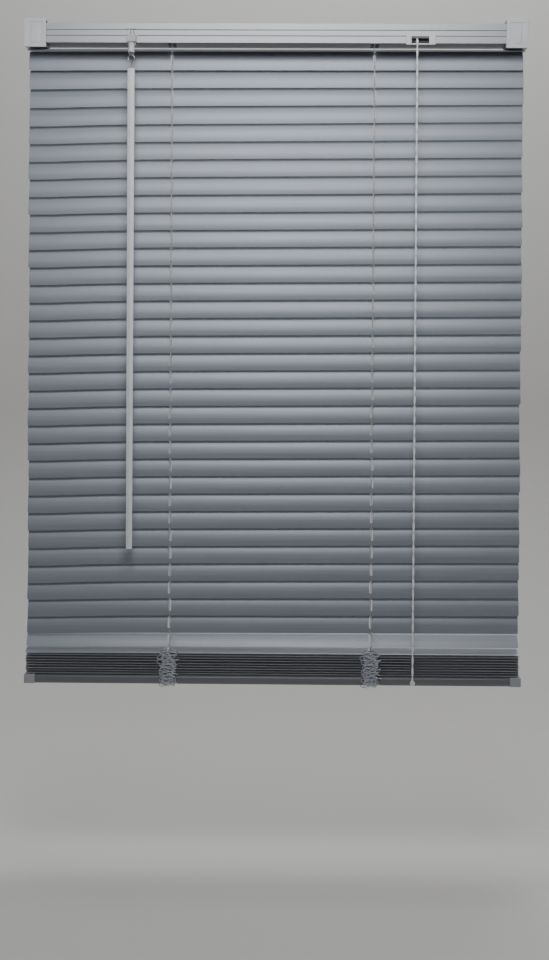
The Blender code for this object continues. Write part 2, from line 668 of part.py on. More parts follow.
def smooth_route(points, spacing):
    """Points about spacing apart on a Catmull-Rom curve through the given ones."""
    route = [Vector(p) for p in points]
    ends = [route[0] * 2 - route[1], *route, route[-1] * 2 - route[-2]]
    out = []
    for a, b, c, d in zip(ends, ends[1:], ends[2:], ends[3:]):
        steps = max(1, round((c - b).length / spacing))
        for step in range(steps):
            t = step / steps
            out.append(0.5 * (2 * b + (c - a) * t + (2 * a - 5 * b + 4 * c - d) * t * t
                              + (3 * b - a - 3 * c + d) * t ** 3))
    return out + [route[-1]]


def pull_cord():
    """The pair of cords that hangs from the lock, in front of the slats."""
    head = smooth_route(PULL_ROUTE[:6], 3 * MM)
    tail = smooth_route(PULL_ROUTE[5:], 14 * MM)
    wire("pull_cord", head + tail[1:], PULL_RADIUS, CORD_GREY)


def build():
    slats()
    slat_stack()
    bottom_rail()
    headrail()
    for side, x, inward in (("left", 0.0, 1), ("right", BRACKET_SPACING, -1)):
        bracket(side, x, inward)
        bracket_cover(side, x)
    tilt_rod()
    tilter_gear()
    tilter_stem()
    tilter_housing()
    for side, x in LADDER_X.items():
        ladder_drum(side, x)
        cradle(side, x)
        ladder_strings(side, x)
    wand_hook()
    wand()
    cord_lock()
    cord_lock_roller()
    lift_cord("left", LADDER_X["left"], 3.0 * MM, (459.0 * MM, 1.5 * MM, CORD_RUN_Z))
    lift_cord("right", LADDER_X["right"], 0.0, (459.0 * MM, -1.2 * MM, CORD_RUN_Z))
    pull_cord()


build()
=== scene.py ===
# %% [markdown]
# # A venetian blind, half drawn up
#
# The imported model gives every hard part its place. This notebook gives each part its finished surface:
# thin curved slats, soft cords, enamelled steel and clear plastic.
# We start by loading that model.

# %% Load the frame
import json
import math

import bmesh
import bpy
import numpy as np
from mathutils import Matrix, Vector


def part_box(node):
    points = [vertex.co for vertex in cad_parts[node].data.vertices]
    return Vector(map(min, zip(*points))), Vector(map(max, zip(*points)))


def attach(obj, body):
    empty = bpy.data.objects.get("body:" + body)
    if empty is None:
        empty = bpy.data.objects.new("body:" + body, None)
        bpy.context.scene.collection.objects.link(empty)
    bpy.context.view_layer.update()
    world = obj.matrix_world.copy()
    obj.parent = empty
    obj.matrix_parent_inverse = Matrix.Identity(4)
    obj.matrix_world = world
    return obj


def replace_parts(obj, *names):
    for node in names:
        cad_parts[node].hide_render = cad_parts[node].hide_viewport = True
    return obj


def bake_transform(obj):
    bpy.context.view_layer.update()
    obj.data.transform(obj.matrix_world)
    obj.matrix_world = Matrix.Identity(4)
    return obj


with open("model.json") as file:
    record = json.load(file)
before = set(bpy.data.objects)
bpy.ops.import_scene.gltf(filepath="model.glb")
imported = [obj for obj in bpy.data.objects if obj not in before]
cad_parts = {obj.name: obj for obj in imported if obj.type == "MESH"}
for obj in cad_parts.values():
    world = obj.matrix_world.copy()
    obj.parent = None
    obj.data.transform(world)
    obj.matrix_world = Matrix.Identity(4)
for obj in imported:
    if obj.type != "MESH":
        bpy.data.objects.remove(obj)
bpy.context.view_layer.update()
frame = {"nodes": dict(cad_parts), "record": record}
MM = 0.001
chance = np.random.default_rng(25)

# %% [markdown]
# ## The camera
#
# The viewer stands about two metres back, a little below the blind's middle, and looks very slightly down.
# We build the camera's three axes from its yaw, pitch and roll, because a matrix keeps them in one plain place.

# %% Camera
CAMERA_PLACE = Vector((0.3175, -1.865, -0.5216))
CAMERA_YAW, CAMERA_PITCH, CAMERA_ROLL = (math.radians(a) for a in (-0.78, -1.06, 0.36))
LENS, SENSOR_TALL = 57.3, 36.0


def camera_axes(yaw, pitch, roll):
    """Forward is +Y turned by yaw and raised by pitch; right and up are square to it, then turned by roll."""
    forward = Vector((math.sin(yaw) * math.cos(pitch), math.cos(yaw) * math.cos(pitch), math.sin(pitch)))
    right = Vector((math.cos(yaw), -math.sin(yaw), 0.0))
    up = right.cross(forward)
    rolled = right * math.cos(roll) + up * math.sin(roll)
    return rolled, rolled.cross(forward), forward


def make_camera():
    right, up, forward = camera_axes(CAMERA_YAW, CAMERA_PITCH, CAMERA_ROLL)
    data = bpy.data.cameras.new("viewer")
    data.sensor_fit = "VERTICAL"
    data.sensor_height, data.lens = SENSOR_TALL, LENS
    camera = bpy.data.objects.new("viewer", data)
    turn = Matrix((right, up, -forward)).transposed().to_4x4()
    camera.matrix_world = Matrix.Translation(CAMERA_PLACE) @ turn
    bpy.context.scene.collection.objects.link(camera)
    bpy.context.scene.camera = camera
    return camera


print("camera at", tuple(round(v, 3) for v in make_camera().location))

# %% [markdown]
# ## Shader groups
#
# Enamel, moulded plastic and cord each have a small-scale texture that several materials share.
# Each texture is a node group, so it is drawn once and set with its own numbers in every material.
# A group gives only colours, values and heights; the Principled shader stays in the material.

# %% Group helpers
SOCKETS = {"value": "NodeSocketFloat", "colour": "NodeSocketColor"}


def start_group(name, inputs, outputs):
    """A new group with (name, kind, default) inputs and (name, kind) outputs; returns the tree and its two ends."""
    tree = bpy.data.node_groups.new(name, "ShaderNodeTree")
    for label, kind, default in inputs:
        made = tree.interface.new_socket(label, in_out="INPUT", socket_type=SOCKETS[kind])
        made.default_value = default
    for label, kind in outputs:
        tree.interface.new_socket(label, in_out="OUTPUT", socket_type=SOCKETS[kind])
    return tree, tree.nodes.new("NodeGroupInput"), tree.nodes.new("NodeGroupOutput")


def node(tree, kind, links=(), **values):
    """One node: values set its properties, or its inputs where no property has that name; links feed inputs."""
    made = tree.nodes.new("ShaderNode" + kind)
    for key, value in values.items():
        if hasattr(made, key):
            setattr(made, key, value)
        else:
            made.inputs[key.replace("_", " ")].default_value = value
    for target, source in links:
        tree.links.new(source, made.inputs[target])
    return made


def object_noise(tree, stretch, detail=3.0):
    """Noise on Object coordinates scaled by stretch, in cycles per metre along X, Y and Z."""
    place = node(tree, "TexCoord")
    scaled = node(tree, "Mapping", [("Vector", place.outputs["Object"])], Scale=stretch)
    return node(tree, "TexNoise", [("Vector", scaled.outputs[0])], Scale=1.0, Detail=detail).outputs["Fac"]


def between(tree, source, low, high):
    """The source remapped from 0.3..0.7, where noise mostly lies, to low..high."""
    return node(
        tree, "MapRange", [("Value", source)],
        From_Min=0.3, From_Max=0.7, To_Min=low, To_Max=high,
    ).outputs["Result"]


def scaled_colour(tree, colour, factor):
    """The colour multiplied by the factor."""
    made = node(tree, "VectorMath", [(0, colour), ("Scale", factor)], operation="SCALE")
    return made.outputs[0]


print("group helpers ready")

# %% [markdown]
# Coil-coated strip has faint lines along its length, left by the rollers, and broader cloudy patches of dust.
# Two noises do this: one stretched a long way along X, and one even. Both change the colour a little and the
# roughness more, which is what the eye reads as real metal.

# %% Rolled enamel group
def rolled_enamel_group():
    tree, source, out = start_group(
        "rolled_enamel",
        [("Colour", "colour", (0.5, 0.5, 0.5, 1)), ("Roughness", "value", 0.4), ("Dust", "value", 0.1)],
        [("Colour", "colour"), ("Roughness", "value"), ("Height", "value")],
    )
    lines = object_noise(tree, (5.0, 900.0, 900.0))
    patches = object_noise(tree, (26.0, 60.0, 40.0), 5.0)
    dust = node(tree, "Math", [(0, patches), (1, source.outputs["Dust"])], operation="MULTIPLY").outputs[0]
    shade = node(tree, "Math", [(0, between(tree, lines, 0.93, 1.05)), (1, dust)], operation="ADD").outputs[0]
    tree.links.new(scaled_colour(tree, source.outputs["Colour"], shade), out.inputs["Colour"])
    spread = node(
        tree, "Math", [(0, between(tree, lines, -0.05, 0.06)), (1, source.outputs["Roughness"])], operation="ADD"
    ).outputs[0]
    rough = node(tree, "Math", [(0, spread), (1, dust)], operation="ADD").outputs[0]
    tree.links.new(rough, out.inputs["Roughness"])
    tree.links.new(lines, out.inputs["Height"])
    return tree


ROLLED_ENAMEL = rolled_enamel_group()
print("made", ROLLED_ENAMEL.name)

# %% [markdown]
# Moulded plastic is smooth but never a mirror: it has a fine orange-peel ripple and slow changes of tone.

# %% Moulded plastic group
def moulded_group():
    tree, source, out = start_group(
        "moulded",
        [("Colour", "colour", (0.8, 0.8, 0.8, 1)), ("Roughness", "value", 0.35)],
        [("Colour", "colour"), ("Roughness", "value"), ("Height", "value")],
    )
    peel = object_noise(tree, (1400.0, 1400.0, 1400.0), 2.0)
    tone = object_noise(tree, (70.0, 70.0, 55.0), 4.0)
    toned = scaled_colour(tree, source.outputs["Colour"], between(tree, tone, 0.93, 1.03))
    tree.links.new(toned, out.inputs["Colour"])
    rough = node(
        tree, "Math", [(0, between(tree, tone, 0.08, -0.03)), (1, source.outputs["Roughness"])], operation="ADD"
    ).outputs[0]
    tree.links.new(rough, out.inputs["Roughness"])
    tree.links.new(peel, out.inputs["Height"])
    return tree


MOULDED = moulded_group()
print("made", MOULDED.name)

# %% [markdown]
# A braided cord shows slanted bumps, one for each yarn. A sine along the sum of height and width draws slanted
# bands, and a second one the other way crosses them. The colour is darker where the bands are low: painted shade
# between the yarns. A fine noise makes the tone a little uneven.

# %% Braid group
def slanted_bands(tree, across, pitch):
    """A wave along (across * x + across * y + z) with one band for each pitch."""
    place = node(tree, "TexCoord")
    turned = node(
        tree, "Mapping", [("Vector", place.outputs["Object"])],
        Scale=(across / pitch, across / pitch, 1.0 / pitch),
    )
    return node(
        tree, "TexWave", [("Vector", turned.outputs[0])],
        wave_type="BANDS", bands_direction="DIAGONAL", Scale=0.31, Distortion=0.6,
    ).outputs["Fac"]


def braid_group():
    tree, source, out = start_group(
        "braid",
        [("Colour", "colour", (0.6, 0.6, 0.6, 1))],
        [("Colour", "colour"), ("Height", "value")],
    )
    left, right = slanted_bands(tree, 1.6, 0.0011), slanted_bands(tree, -1.6, 0.0011)
    weave = node(tree, "Math", [(0, left), (1, right)], operation="MAXIMUM").outputs[0]
    fuzz = object_noise(tree, (900.0, 900.0, 900.0), 4.0)
    # Darker where the weave is low: painted shade between the yarns.
    shade = node(
        tree, "MapRange", [("Value", weave)], From_Min=0.2, From_Max=1.0, To_Min=0.72, To_Max=1.06
    ).outputs["Result"]
    crease_shade_and_fuzz = node(tree, "Math", [(0, shade), (1, between(tree, fuzz, 0.88, 1.06))], operation="MULTIPLY").outputs[0]
    tree.links.new(scaled_colour(tree, source.outputs["Colour"], crease_shade_and_fuzz), out.inputs["Colour"])
    tree.links.new(weave, out.inputs["Height"])
    return tree


BRAID = braid_group()
print("made", BRAID.name)

# %% [markdown]
# ## Materials
#
# Each finish is one material: a Principled shader fed by its group. Values that are the same all over, such as the
# metallic share and the coat, are set on the shader itself.

# %% Finishes
def finish(name, group, colour, bump, roughness, dust=None, **settings):
    """A Principled material whose colour, roughness and bump come from the group; bump is its depth in metres."""
    made = bpy.data.materials.new(name)
    made.use_nodes = True
    tree = made.node_tree
    shader = tree.nodes["Principled BSDF"]
    for key, value in settings.items():
        shader.inputs[key.replace("_", " ")].default_value = value
    shader.inputs["Roughness"].default_value = roughness
    pattern = tree.nodes.new("ShaderNodeGroup")
    pattern.node_tree = group
    pattern.inputs["Colour"].default_value = (*colour, 1.0)
    if dust is not None:
        pattern.inputs["Dust"].default_value = dust
    if "Roughness" in pattern.inputs:
        pattern.inputs["Roughness"].default_value = roughness
        tree.links.new(pattern.outputs["Roughness"], shader.inputs["Roughness"])
    tree.links.new(pattern.outputs["Colour"], shader.inputs["Base Color"])
    relief = tree.nodes.new("ShaderNodeBump")
    relief.inputs["Distance"].default_value = bump
    relief.inputs["Strength"].default_value = 0.5
    tree.links.new(pattern.outputs["Height"], relief.inputs["Height"])
    tree.links.new(relief.outputs["Normal"], shader.inputs["Normal"])
    return made


SLAT_ENAMEL = finish("slat_enamel", ROLLED_ENAMEL, (0.265, 0.288, 0.325), 0.00004, 0.40, 0.06, Metallic=0.3)
# A lighter copy of the slat enamel: painted light on the lying slats of the shaded pile.
PILE_LIT_ENAMEL = finish("pile_enamel", ROLLED_ENAMEL, (0.32, 0.33, 0.36), 0.00004, 0.42, 0.10, Metallic=0.3)
RAIL_ENAMEL = finish("rail_enamel", ROLLED_ENAMEL, (0.335, 0.35, 0.375), 0.00003, 0.34, 0.05, Metallic=0.3)
# A darker copy of the rail enamel: painted shade in the headrail's grooves.
GROOVE_SHADE = finish("groove_enamel", ROLLED_ENAMEL, (0.24, 0.25, 0.27), 0.00003, 0.50, 0.12, Metallic=0.2)
# A darker copy of the rail enamel for the bottom rail: painted shade.
BOTTOM_RAIL_SHADE = finish("base_enamel", ROLLED_ENAMEL, (0.17, 0.178, 0.195), 0.00003, 0.36, 0.06, Metallic=0.3)
OFF_WHITE = finish("off_white_plastic", MOULDED, (0.60, 0.615, 0.635), 0.00002, 0.30)
CAP_GREY = finish("cap_plastic", MOULDED, (0.36, 0.375, 0.40), 0.00002, 0.32)
MILKY = finish("milky_plastic", MOULDED, (0.66, 0.69, 0.71), 0.00002, 0.18, Transmission_Weight=0.35, IOR=1.49)
CLEAR = finish("clear_plastic", MOULDED, (0.95, 0.965, 0.98), 0.00002, 0.12, Transmission_Weight=0.10, IOR=1.49)
# Near-black plastic of the plugs and the wand pin; on the lock's inside the same material is painted shade.
DARK_PLASTIC_AND_SHADE = finish("dark_plastic", MOULDED, (0.02, 0.021, 0.023), 0.00002, 0.45)
ROLLER_GREY = finish("roller_plastic", MOULDED, (0.03, 0.031, 0.033), 0.00002, 0.35)
WIRE = finish("zinc_wire", MOULDED, (0.55, 0.56, 0.57), 0.00001, 0.28, Metallic=1.0)
CORD = finish("braided_cord", BRAID, (0.93, 0.94, 0.96), 0.00012, 0.85, Sheen_Weight=0.3)
STRING = finish("ladder_string", BRAID, (0.42, 0.44, 0.47), 0.00008, 0.85, Sheen_Weight=0.3)
SHADED_STRING = finish("shaded_string", BRAID, (0.13, 0.14, 0.16), 0.00008, 0.9)
# A lighter copy of the ladder string for the bunched outer loops and the tails: painted light.
LIT_SLACK_STRING = finish("slack_string", BRAID, (0.62, 0.66, 0.72), 0.00008, 0.85, Sheen_Weight=0.3)
print("finishes:", len(bpy.data.materials))

# %% [markdown]
# ## Mesh helpers
#
# Nearly every new piece is either a grid of points or a round section carried along a path.
# Whole arrays go into the mesh at once.

# %% Grid and tube
def piece(name, points, faces, material, body=None):
    """An object at the origin from points and faces, with smooth shading; it rides on body if one is given."""
    mesh = bpy.data.meshes.new(name)
    mesh.from_pydata(np.asarray(points, float).tolist(), [], faces)
    mesh.materials.append(material)
    made = bpy.data.objects.new(name, mesh)
    bpy.context.scene.collection.objects.link(made)
    turn_outwards(mesh)
    mesh.shade_smooth()
    mesh.set_sharp_from_angle(angle=math.radians(40))
    if body:
        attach(made, body)
    return made


def turn_outwards(mesh):
    bm = bmesh.new()
    bm.from_mesh(mesh)
    bmesh.ops.recalc_face_normals(bm, faces=bm.faces)
    bm.to_mesh(mesh)
    bm.free()


def ring_faces(rings, sides, first=0):
    """Quads between successive rings of a tube, and one face over each end."""
    ring, side = np.meshgrid(np.arange(rings - 1), np.arange(sides), indexing="ij")
    beside = (side + 1) % sides
    quads = np.stack(
        [ring * sides + side, ring * sides + beside, (ring + 1) * sides + beside, (ring + 1) * sides + side], -1
    )
    ends = [list(range(first, first + sides)), list(range(first + (rings - 1) * sides, first + rings * sides))]
    return (quads.reshape(-1, 4) + first).tolist() + ends


def frames_along(path, side):
    """At each point: the tangent, and two directions square to it, the first as near to side as it can be."""
    tangent = np.gradient(path, axis=0)
    tangent /= np.linalg.norm(tangent, axis=1, keepdims=True)
    first = side - tangent * (tangent @ side)[:, None]
    first /= np.linalg.norm(first, axis=1, keepdims=True)
    return tangent, first, np.cross(tangent, first)


def tube_points(path, radius, sides, side=(0.0, 1.0, 0.0)):
    """Circles of that radius round each point of the path: centre + radius (cos a * first + sin a * second)."""
    path = np.asarray(path, float)
    _, first, second = frames_along(path, np.asarray(side, float))
    angle = np.linspace(0, 2 * np.pi, sides, endpoint=False)
    radius = np.broadcast_to(radius, len(path))[:, None, None]
    round_it = np.cos(angle)[None, :, None] * first[:, None] + np.sin(angle)[None, :, None] * second[:, None]
    return (path[:, None] + radius * round_it).reshape(-1, 3)


def tubes(name, paths, radius, sides, material, body=None, side=(0.0, 1.0, 0.0)):
    """Several round cords of one material in one mesh."""
    points, faces, first = [], [], 0
    for path in paths:
        points.append(tube_points(path, radius, sides, side))
        faces += ring_faces(len(path), sides, first)
        first += len(path) * sides
    return piece(name, np.concatenate(points), faces, material, body)


def smooth_path(points, count):
    """count points at even steps on a Catmull-Rom curve through the given points."""
    points = np.asarray(points, float)
    padded = np.vstack([2 * points[0] - points[1], points, 2 * points[-1] - points[-2]])
    t = np.linspace(0, 1, 40, endpoint=False)[:, None]
    spans = []
    for a, b, c, d in zip(padded, padded[1:], padded[2:], padded[3:]):
        square, cube = 2 * a - 5 * b + 4 * c - d, 3 * b - a - 3 * c + d
        spans.append(0.5 * (2 * b + (c - a) * t + square * t**2 + cube * t**3))
    fine = np.vstack([*spans, points[-1:]])
    run = np.concatenate([[0], np.cumsum(np.linalg.norm(np.diff(fine, axis=0), axis=1))])
    even = np.linspace(0, run[-1], count)
    return np.stack([np.interp(even, run, fine[:, k]) for k in range(3)], 1)


def path_length(path):
    return float(np.linalg.norm(np.diff(path, axis=0), axis=1).sum())


print("mesh helpers ready")

# %% [markdown]
# ## The pull cord
#
# Two cords leave the lock together, drop over its lower lip and hang in front of the slats, loosely twisted.
# Each strand is a round tube on a helix about the middle line, and the pair ends in one overhand knot.
# When the blind is let down the cord runs back into the lock.

# %% Pull cord
PULL_X = 460.9 * MM
PULL_ROUTE = np.array([
    (PULL_X, -0.0066, -0.0238), (PULL_X, -0.0105, -0.0238), (PULL_X, -0.0140, -0.0240),
    (PULL_X, -0.0162, -0.0260), (PULL_X, -0.0169, -0.0300), (PULL_X, -0.0170, -0.0400),
    (PULL_X, -0.0170, -0.1200), (PULL_X, -0.0170, -0.2600), (PULL_X, -0.0170, -0.4200),
    (PULL_X, -0.0170, -0.5800), (PULL_X, -0.0170, -0.7200), (PULL_X, -0.0170, -0.8000),
])
STRAND_RADIUS, STRAND_OFFSET, TWIST_PITCH = 0.68 * MM, 0.64 * MM, 26 * MM
pull_line = smooth_path(PULL_ROUTE, 420)


def strand(line, phase):
    """The middle line plus STRAND_OFFSET, turned about once each TWIST_PITCH and a little unevenly."""
    _, first, second = frames_along(line, np.array([1.0, 0.0, 0.0]))
    run = np.linspace(0, path_length(line), len(line))
    turn = (2 * np.pi * run / TWIST_PITCH + phase + 0.9 * np.sin(run / 0.07))[:, None]
    return line + STRAND_OFFSET * (np.cos(turn) * first + np.sin(turn) * second)


pull_cord = tubes(
    "pull_cord_pair", [strand(pull_line, 0.0), strand(pull_line, np.pi)], STRAND_RADIUS, 8, CORD,
    side=(1.0, 0.0, 0.0),
)


def knot_path(centre, size, count=90):
    """A trefoil: ((2 + cos 3t) cos 2t, (2 + cos 3t) sin 2t, sin 3t), scaled, standing in the cord's line."""
    t = np.linspace(0, 2 * np.pi, count)
    reach = 2 + np.cos(3 * t)
    flat = np.stack([reach * np.cos(2 * t), 0.75 * np.sin(3 * t), reach * np.sin(2 * t)], 1)
    return np.asarray(centre) + flat * size


pull_end = pull_line[-1]
pull_knot = tubes(
    "pull_cord_knot", [knot_path(pull_end - (0, 0, 0.001), 0.85 * MM)], 0.7 * MM, 8, CORD, side=(0.3, 1.0, 0.2)
)
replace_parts(pull_cord, "pull_cord")
for cord_piece in (pull_cord, pull_knot):
    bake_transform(cord_piece)
print("pull cord length:", round(path_length(pull_line), 3))

# %% [markdown]
# ## Slats
#
# A slat is a strip of aluminium a few tenths of a millimetre thick, rolled to a shallow arch so that it stays
# straight, with rounded corners and two slots. We work out one grid: the position along the slat, and the position
# across it, whose height is a parabola. The corners come from shortening the across direction near the ends, and
# the slots from leaving faces out. Solidify gives the sheet its thickness.

# %% Slat grid
SLAT_MIDDLE_X = (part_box("slat_02")[0].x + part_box("slat_02")[1].x) / 2
SLAT_HALF_LENGTH = (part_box("slat_02")[1].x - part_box("slat_02")[0].x) / 2
LADDER_X = {
    side: (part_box(f"ladder_drum_{side}")[0].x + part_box(f"ladder_drum_{side}")[1].x) / 2
    for side in ("left", "right")
}
SLAT_HALF, SLAT_CROWN, SLAT_SHEET = 12.4 * MM, 2.0 * MM, 0.36 * MM
CORNER_RADIUS = 1.6 * MM
SLOT_HALF_WIDTH, SLOT_HALF_LENGTH = 1.5 * MM, 7.0 * MM
CLOSED_TILT = 76.0


def slat_columns():
    """Places along the slat: close together at the rounded corners and at the slots, wide apart between."""
    corner = CORNER_RADIUS * (1 - np.cos(np.linspace(0, np.pi / 2, 7)))
    corner[0] = 0.02 * MM
    ends = np.concatenate([corner - SLAT_HALF_LENGTH, SLAT_HALF_LENGTH - corner[::-1]])
    slots = [x - SLAT_MIDDLE_X + k * SLOT_HALF_WIDTH for x in LADDER_X.values() for k in (-1, 0, 1)]
    middle = np.linspace(-SLAT_HALF_LENGTH, SLAT_HALF_LENGTH, 22)[1:-1]
    return np.unique(np.round(np.concatenate([ends, slots, middle]), 6))


SLAT_X = slat_columns()
SLAT_Y = np.unique(np.round(np.concatenate([
    SLAT_HALF * np.linspace(-1, 1, 11), SLOT_HALF_LENGTH * np.array([-1, 1, -0.86, 0.86])
]), 6))


def slat_points():
    """(x, y, z) grid: y narrows as a circle near each end, and z = -SLAT_CROWN (y / SLAT_HALF)^2."""
    x, y = np.meshgrid(SLAT_X, SLAT_Y, indexing="ij")
    inside = np.clip((CORNER_RADIUS - (SLAT_HALF_LENGTH - np.abs(x))) / CORNER_RADIUS, 0, 1)
    half = SLAT_HALF - CORNER_RADIUS * (1 - np.sqrt(1 - inside**2))
    y = y * half / SLAT_HALF
    for ladder in LADDER_X.values():
        rim = np.isclose(np.abs(x - (ladder - SLAT_MIDDLE_X)), SLOT_HALF_WIDTH, atol=1e-5)
        tip = np.isclose(np.abs(y), SLOT_HALF_LENGTH, atol=1e-5)
        y = np.where(rim & tip, y * 0.93, y)
    return np.stack([x, y, -SLAT_CROWN * (y / SLAT_HALF) ** 2], -1)


def slat_faces():
    """Quads of the grid, without those whose middle lies in a slot."""
    i, j = np.meshgrid(np.arange(len(SLAT_X) - 1), np.arange(len(SLAT_Y) - 1), indexing="ij")
    x, y = (SLAT_X[i] + SLAT_X[i + 1]) / 2, (SLAT_Y[j] + SLAT_Y[j + 1]) / 2
    solid = np.ones_like(x, bool)
    for ladder in LADDER_X.values():
        solid &= (np.abs(x - (ladder - SLAT_MIDDLE_X)) > SLOT_HALF_WIDTH) | (np.abs(y) > SLOT_HALF_LENGTH)
    rows = len(SLAT_Y)
    quads = np.stack([i * rows + j, (i + 1) * rows + j, (i + 1) * rows + j + 1, i * rows + j + 1], -1)
    return quads[solid].tolist()


SLAT_GRID, SLAT_QUADS = slat_points(), slat_faces()
print("slat grid:", SLAT_GRID.shape[:2], "faces:", len(SLAT_QUADS))

# %% [markdown]
# No two slats hang quite alike. Each one gets its own small error of tilt, a slight twist and a slow bow between
# its ladders, and the whole curtain hangs a few millimetres lower at its left end.

# %% Place a slat
HANG_SLOPE = math.radians(0.50)
END_DROOP, DROOP_REACH = 2.4 * MM, 150 * MM


def hang_slope(number):
    """The slope grows over the first four slats and eases again over the last three, above the pile."""
    last = len(SLAT_NAMES) - 1
    return HANG_SLOPE * min(1.0, (number + 1) / 4, 0.5 + (last - number) / 6)


def placed_slat(z, tilt, slope=0.0, twist=0.0, bow=0.0, shift=(0.0, 0.0)):
    """The grid turned about X by tilt + twist * x, raised by slope * x and a cosine bow, then moved to (shift, z).
    With a slope, the free left end also droops: END_DROOP times the square of its share of DROOP_REACH."""
    x, y, h = SLAT_GRID[..., 0], SLAT_GRID[..., 1], SLAT_GRID[..., 2]
    turn = np.radians(tilt) + twist * x / SLAT_HALF_LENGTH
    across = y * np.cos(turn) - h * np.sin(turn)
    height = y * np.sin(turn) + h * np.cos(turn)
    height = height + math.tan(slope) * x + bow * np.cos(2.2 * x / SLAT_HALF_LENGTH)
    past = np.clip((LADDER_X["left"] - SLAT_MIDDLE_X - x) / DROOP_REACH, 0, 1)
    height = height - END_DROOP * past**2 * min(1.0, slope / HANG_SLOPE)
    return np.stack([x + SLAT_MIDDLE_X + shift[0], across + shift[1], height + z], -1).reshape(-1, 3)


def thicken(obj, thickness):
    """Solidify about the middle of the sheet, applied, so that its edges can be marked sharp."""
    made = obj.modifiers.new("thickness", "SOLIDIFY")
    made.thickness, made.offset = thickness, 0.0
    made.use_even_offset = True
    graph = bpy.context.evaluated_depsgraph_get()
    mesh = bpy.data.meshes.new_from_object(obj.evaluated_get(graph))
    obj.modifiers.clear()
    obj.data = mesh
    mesh.shade_smooth()
    mesh.set_sharp_from_angle(angle=math.radians(40))


def make_slat(name, points, body=None, material=SLAT_ENAMEL):
    made = piece(name, points, SLAT_QUADS, material, body)
    thicken(made, SLAT_SHEET)
    return made


def joint(name):
    return next(j for j in frame["record"]["behaviour"]["joints"] if j["name"] == name)


def slat_axis_z(name):
    return joint(name + "_tilt")["pos_m"][2]


SLAT_NAMES = sorted(n for n in frame["nodes"] if n.startswith("slat_") and n[5:].isdigit())
for number, name in enumerate(SLAT_NAMES):
    slope = hang_slope(number)
    wander = chance.uniform(-1, 1, 4)
    shape = placed_slat(
        slat_axis_z(name), CLOSED_TILT + 0.4 * wander[0], slope, 0.008 * wander[1], 0.2 * MM * wander[2],
        (0.8 * MM * wander[3], 0.0),
    )
    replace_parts(make_slat(f"{name}_sheet", shape, name), name)
top_slat = make_slat("slat_top_sheet", placed_slat(slat_axis_z("slat_top"), 10.0), "slat_top")
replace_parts(top_slat, "slat_top")
print("hanging slats:", len(SLAT_NAMES))

# %% [markdown]
# ## The gathered slats
#
# The last slats rest on the bottom rail. When the rail goes down they come off the pile one by one, from the top,
# until each hangs one pitch below the last.

# %% Pile
LEANING = [(-748.8 * MM, 47.0), (-763.0 * MM, 12.0)]
PILE = LEANING + [(-768.6 * MM - k * 3.1 * MM, 0.0) for k in range(8)]
LEANING_SLOPES = [0.25, 0.12]
LEANING_WANDER, LYING_WANDER = 0.8, 2.6


def follow_rail(obj):
    """Bakes obj's transform into its mesh."""
    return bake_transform(obj)


pile_pieces = []
for index, (z, tilt) in enumerate(PILE):
    wander = chance.uniform(-1, 1, 4)
    leaning = index < len(LEANING)
    loose = LEANING_WANDER if leaning else LYING_WANDER
    shape = placed_slat(
        z, tilt + loose * wander[0], HANG_SLOPE * (LEANING_SLOPES[index] if leaning else 0.0),
        0.004 * wander[1], 0.2 * MM * wander[2], (1.0 * MM * wander[3], 0.5 * MM * wander[1]),
    )
    # The lying slats take the lighter copy of the slat enamel: painted light.
    slat = make_slat(f"pile_slat_{index + 1:02d}", shape, material=SLAT_ENAMEL if leaning else PILE_LIT_ENAMEL)
    follow_rail(slat)
    pile_pieces.append(slat)
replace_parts(pile_pieces[0], "slat_stack")
print("gathered slats:", len(pile_pieces))

# %% [markdown]
# ## Hard parts with softened edges
#
# The headrail, brackets, lock and rail have the right shapes already, but real edges catch a thin highlight.
# We copy each solid, join its loose triangles, merge flat neighbours into whole faces and add a small bevel.
# The headrail's grooves and the lock's inside get a second, darker material: painted shade in these hollows.

# %% Softened copies
def give_painted_shade(mesh, material, chosen):
    """Gives the faces for which chosen(face) holds a second, darker material: painted shade."""
    mesh.materials.append(material)
    for face in mesh.polygons:
        face.material_index = int(chosen(face))


def softened(node_name, material, body, width, turned=False):
    """A merged copy of a node with flat faces joined and edges bevelled by width; turned parts are smooth."""
    mesh = frame["nodes"][node_name].data.copy()
    bm = bmesh.new()
    bm.from_mesh(mesh)
    bmesh.ops.remove_doubles(bm, verts=bm.verts, dist=1e-6)
    bmesh.ops.dissolve_limit(bm, angle_limit=math.radians(0.5), verts=bm.verts, edges=bm.edges)
    bm.to_mesh(mesh)
    bm.free()
    mesh.materials.clear()
    mesh.materials.append(material)
    if node_name in PAINTED_SHADE_PARTS:
        give_painted_shade(mesh, *PAINTED_SHADE_PARTS[node_name])
    made = bpy.data.objects.new(f"{node_name}_shell", mesh)
    bpy.context.scene.collection.objects.link(made)
    if turned:
        mesh.shade_smooth()
        mesh.set_sharp_from_angle(angle=SHARP)
    else:
        mesh.shade_flat()
    if width:
        bevel = made.modifiers.new("edge", "BEVEL")
        bevel.width, bevel.segments = width, 2
        bevel.limit_method, bevel.angle_limit = "ANGLE", SHARP
    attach(made, body)
    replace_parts(made, node_name)
    return made


def groove_shade_faces(face):
    """The faces of the headrail's front grooves, which take painted shade: near the front, and sloping."""
    return face.center.y < GROOVE_FRONT and -0.95 < face.normal.y < -0.2 and abs(face.normal.z) > 0.3


